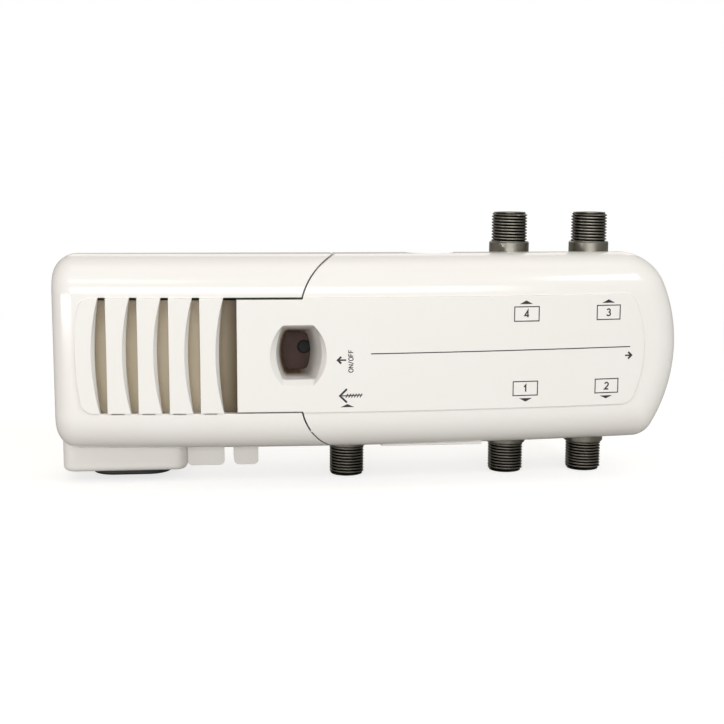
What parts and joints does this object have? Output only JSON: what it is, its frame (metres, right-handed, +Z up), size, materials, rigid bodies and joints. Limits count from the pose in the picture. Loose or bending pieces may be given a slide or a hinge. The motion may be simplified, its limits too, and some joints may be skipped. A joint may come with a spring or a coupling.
{
  "type": "tv signal amplifier",
  "caption": "Wall-hung aerial signal amplifier: flat box with a louvred end, a sliding front cover with a finger recess over a push switch, threaded coaxial ports and a mains inlet.",
  "frame": {"origin": "midway between the two wall keyholes, on the wall plane at the back of the tray", "axes": "+X along the length towards the rounded cover end, +Y into the wall (the front faces -Y), +Z up towards output ports 3 and 4"},
  "size_m": [0.1634, 0.038, 0.0702],
  "materials": {
    "shell_plastic": "moulded, satin",
    "tray_plastic": "moulded, fine grain",
    "baffle_plastic": "moulded, matt",
    "inlet_plastic": "moulded, matt black",
    "pin_metal": "bright",
    "board_laminate": "solder resist",
    "ferrite": "sintered",
    "winding_tape": "polyester tape",
    "capacitor_sleeve": "shrink sleeve",
    "suppressor_resin": "cast resin",
    "fuse_case": "moulded",
    "chip_resin": "moulded",
    "sink_aluminium": "extruded",
    "switch_plastic": "moulded",
    "button_plastic": "moulded",
    "cast_alloy": "die cast",
    "shield_sheet": "tinned sheet",
    "coil_copper": "enamelled wire",
    "trimmer_plastic": "moulded",
    "knob_plastic": "moulded",
    "feed_insulation": "insulated wire",
    "port_metal": "nickel plated",
    "port_insulation": "moulded",
    "contact_metal": "plated",
    "screw_steel": "zinc plated"
  },
  "bodies": {
    "base": {"amplifier_chip": "chip_resin", "base_tray": "tray_plastic", "board_screw_1": "screw_steel", "board_screw_2": "screw_steel", "chassis_screw_1": "screw_steel", "chassis_screw_2": "screw_steel", "chassis_screw_3": "screw_steel", "dc_feedthrough": "feed_insulation", "f_port_1": "port_metal", "f_port_2": "port_metal", "f_port_3": "port_metal", "f_port_4": "port_metal", "f_port_in": "port_metal", "filter_can": "shield_sheet", "gain_trimmer": "trimmer_plastic", "heat_sink": "sink_aluminium", "housing_screw_1": "screw_steel", "housing_screw_2": "screw_steel", "housing_screw_3": "screw_steel", "housing_screw_4": "screw_steel", "inlet_pin_1": "pin_metal", "inlet_pin_2": "pin_metal", "input_capacitor": "capacitor_sleeve", "line_choke": "ferrite", "line_fuse": "fuse_case", "louvre_housing": "shell_plastic", "mains_inlet": "inlet_plastic", "output_capacitor": "capacitor_sleeve", "port_contact_1": "contact_metal", "port_contact_2": "contact_metal", "port_contact_3": "contact_metal", "port_contact_4": "contact_metal", "port_contact_in": "contact_metal", "port_insulator_1": "port_insulation", "port_insulator_2": "port_insulation", "port_insulator_3": "port_insulation", "port_insulator_4": "port_insulation", "port_insulator_in": "port_insulation", "rf_board": "board_laminate", "rf_chassis": "cast_alloy", "rf_coil_1": "coil_copper", "rf_coil_2": "coil_copper", "rf_shield": "shield_sheet", "shield_screw_1": "screw_steel", "shield_screw_2": "screw_steel", "splitter_core_1": "ferrite", "splitter_core_2": "ferrite", "splitter_core_3": "ferrite", "supply_board": "board_laminate", "supply_chip": "chip_resin", "suppressor_capacitor": "suppressor_resin", "switch_body": "switch_plastic", "transformer_core": "ferrite", "transformer_winding": "winding_tape", "vent_baffle": "baffle_plastic"},
    "cover": {"front_cover": "shell_plastic"},
    "button": {"switch_button": "button_plastic"},
    "knob": {"gain_knob": "knob_plastic"}
  },
  "joints": [
    {"name": "cover_slide", "type": "slide", "parent": "base", "child": "cover", "axis": [1, 0, 0], "range_m": [0, 0.034]},
    {"name": "button_press", "type": "slide", "parent": "base", "child": "button", "axis": [0, 1, 0], "range_m": [0, 0.0015], "stiffness_N_per_m": 400, "springref_m": -0.0005},
    {"name": "gain_turn", "type": "hinge", "parent": "base", "child": "knob", "pos_m": [-0.00671, -0.0204, 0.01131], "axis": [0, 1, 0], "range_deg": [-135, 135]}
  ]
}
